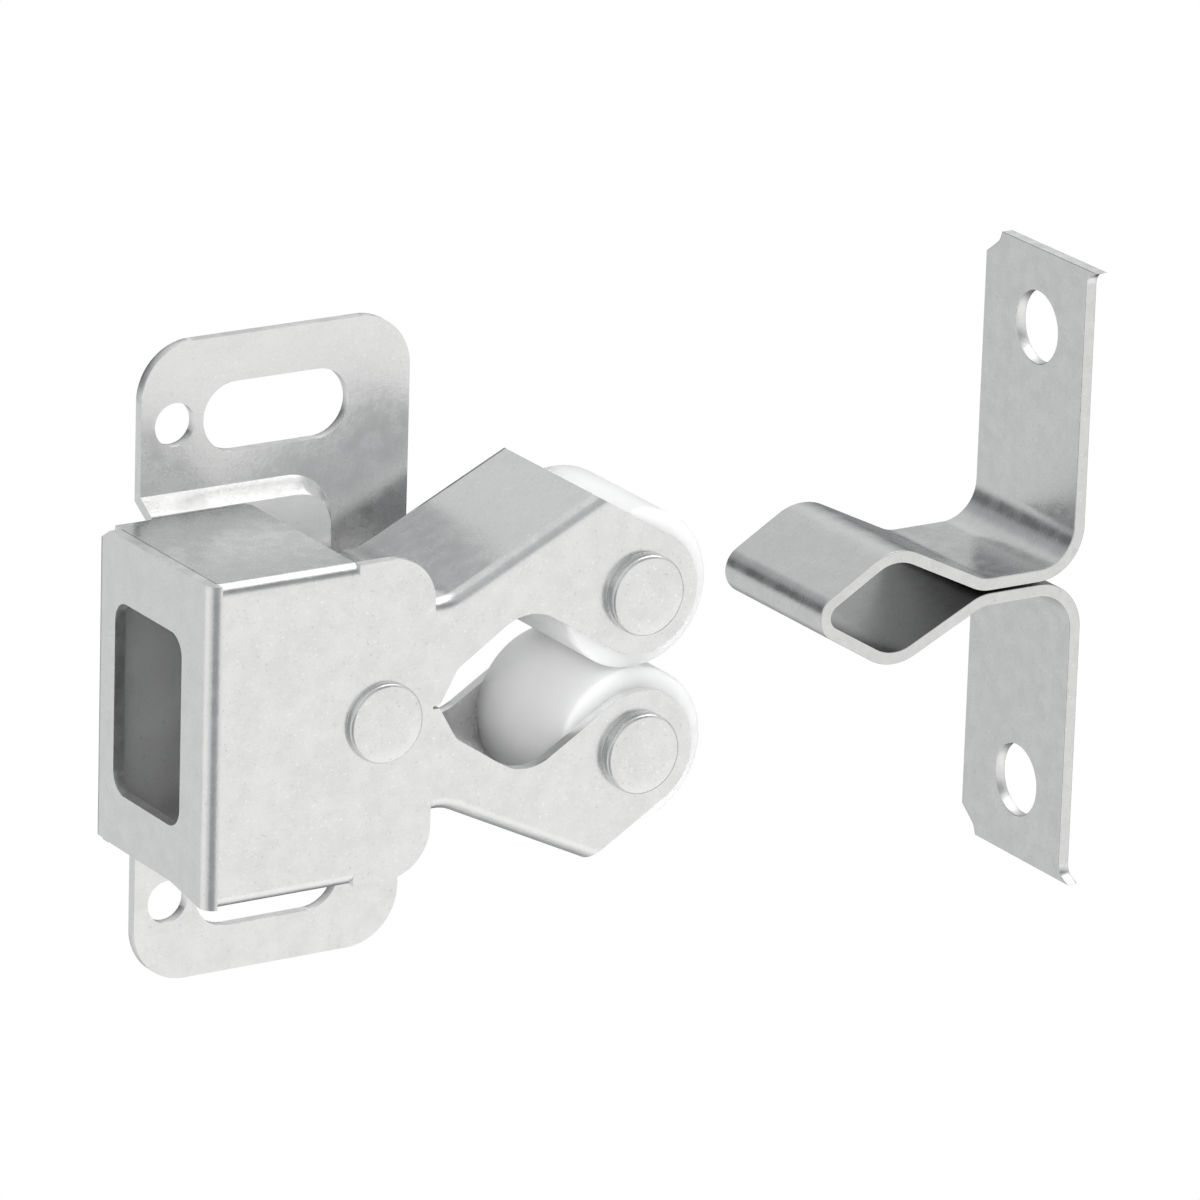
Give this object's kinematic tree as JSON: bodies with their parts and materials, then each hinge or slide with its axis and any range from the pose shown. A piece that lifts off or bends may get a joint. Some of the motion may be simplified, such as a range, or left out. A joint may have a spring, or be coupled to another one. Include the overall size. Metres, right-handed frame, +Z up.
{
  "type": "double roller catch",
  "caption": "Sprung double roller cabinet catch: folded steel bracket with pivoted channel arms and plastic rollers, with a folded bulb strike for the door.",
  "frame": {"origin": "middle of the catch's back face, level with the slots' centres across and with the pivot in height", "axes": "+X towards the strike and the door, +Y into the surface the catch is screwed to, +Z up"},
  "size_m": [0.0737, 0.0181, 0.046],
  "materials": {
    "zinc_plate": "zinc plated, satin",
    "rivet_steel": "zinc plated, satin",
    "spring_wire": "drawn wire",
    "nylon": "smooth, satin"
  },
  "bodies": {
    "catch": {"catch_bracket": "zinc_plate", "pivot_rivet": "rivet_steel", "torsion_spring": "spring_wire"},
    "upper_arm": {"upper_arm": "zinc_plate", "upper_roller_rivet": "rivet_steel"},
    "lower_arm": {"lower_arm": "zinc_plate", "lower_roller_rivet": "rivet_steel"},
    "upper_roller": {"upper_roller": "nylon"},
    "lower_roller": {"lower_roller": "nylon"},
    "strike": {"strike": "zinc_plate"}
  },
  "joints": [
    {"name": "upper_arm_hinge", "type": "hinge", "parent": "catch", "child": "upper_arm", "pos_m": [-0.00085, -0.0098, 0], "axis": [0, -1, 0], "range_deg": [0, 12.6], "stiffness_Nm_per_rad": 0.8, "springref_deg": -20.05, "deforming": ["torsion_spring"]},
    {"name": "lower_arm_hinge", "type": "hinge", "parent": "catch", "child": "lower_arm", "pos_m": [-0.00085, -0.0098, 0], "axis": [0, 1, 0], "range_deg": [0, 12.6], "stiffness_Nm_per_rad": 0.8, "springref_deg": -20.05, "deforming": ["torsion_spring"]},
    {"name": "upper_roller_spin", "type": "hinge", "parent": "upper_arm", "child": "upper_roller", "pos_m": [0.0201, -0.0098, 0.00573], "axis": [0, -1, 0], "continuous": true},
    {"name": "lower_roller_spin", "type": "hinge", "parent": "lower_arm", "child": "lower_roller", "pos_m": [0.0201, -0.0098, -0.00573], "axis": [0, -1, 0], "continuous": true},
    {"name": "strike_slide", "type": "slide", "parent": "catch", "child": "strike", "axis": [-1, 0, 0], "range_m": [0, 0.013]}
  ]
}
